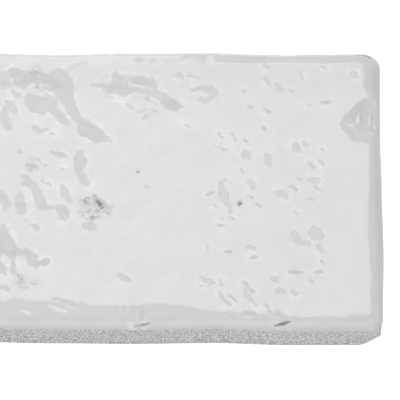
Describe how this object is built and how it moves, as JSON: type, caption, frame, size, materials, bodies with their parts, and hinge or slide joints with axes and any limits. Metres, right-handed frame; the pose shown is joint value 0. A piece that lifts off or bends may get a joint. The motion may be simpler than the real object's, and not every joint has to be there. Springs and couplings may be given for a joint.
{
  "type": "ceramic wall tile",
  "caption": "Long rectangular ceramic wall tile with a gloss white undulating face, wavy sides, rounded rim and a keyed clay back.",
  "frame": {"origin": "middle of the back, on the plane of the lands that the tile rests on", "axes": "+X along the length, +Y across the width, +Z out of the glazed face"},
  "size_m": [0.2, 0.065, 0.0091],
  "materials": {
    "glazed_tile": "gloss white glaze on the face and rim, bare pale clay on the sides and back"
  },
  "bodies": {
    "root": {"tile": "glazed_tile"}
  },
  "joints": []
}
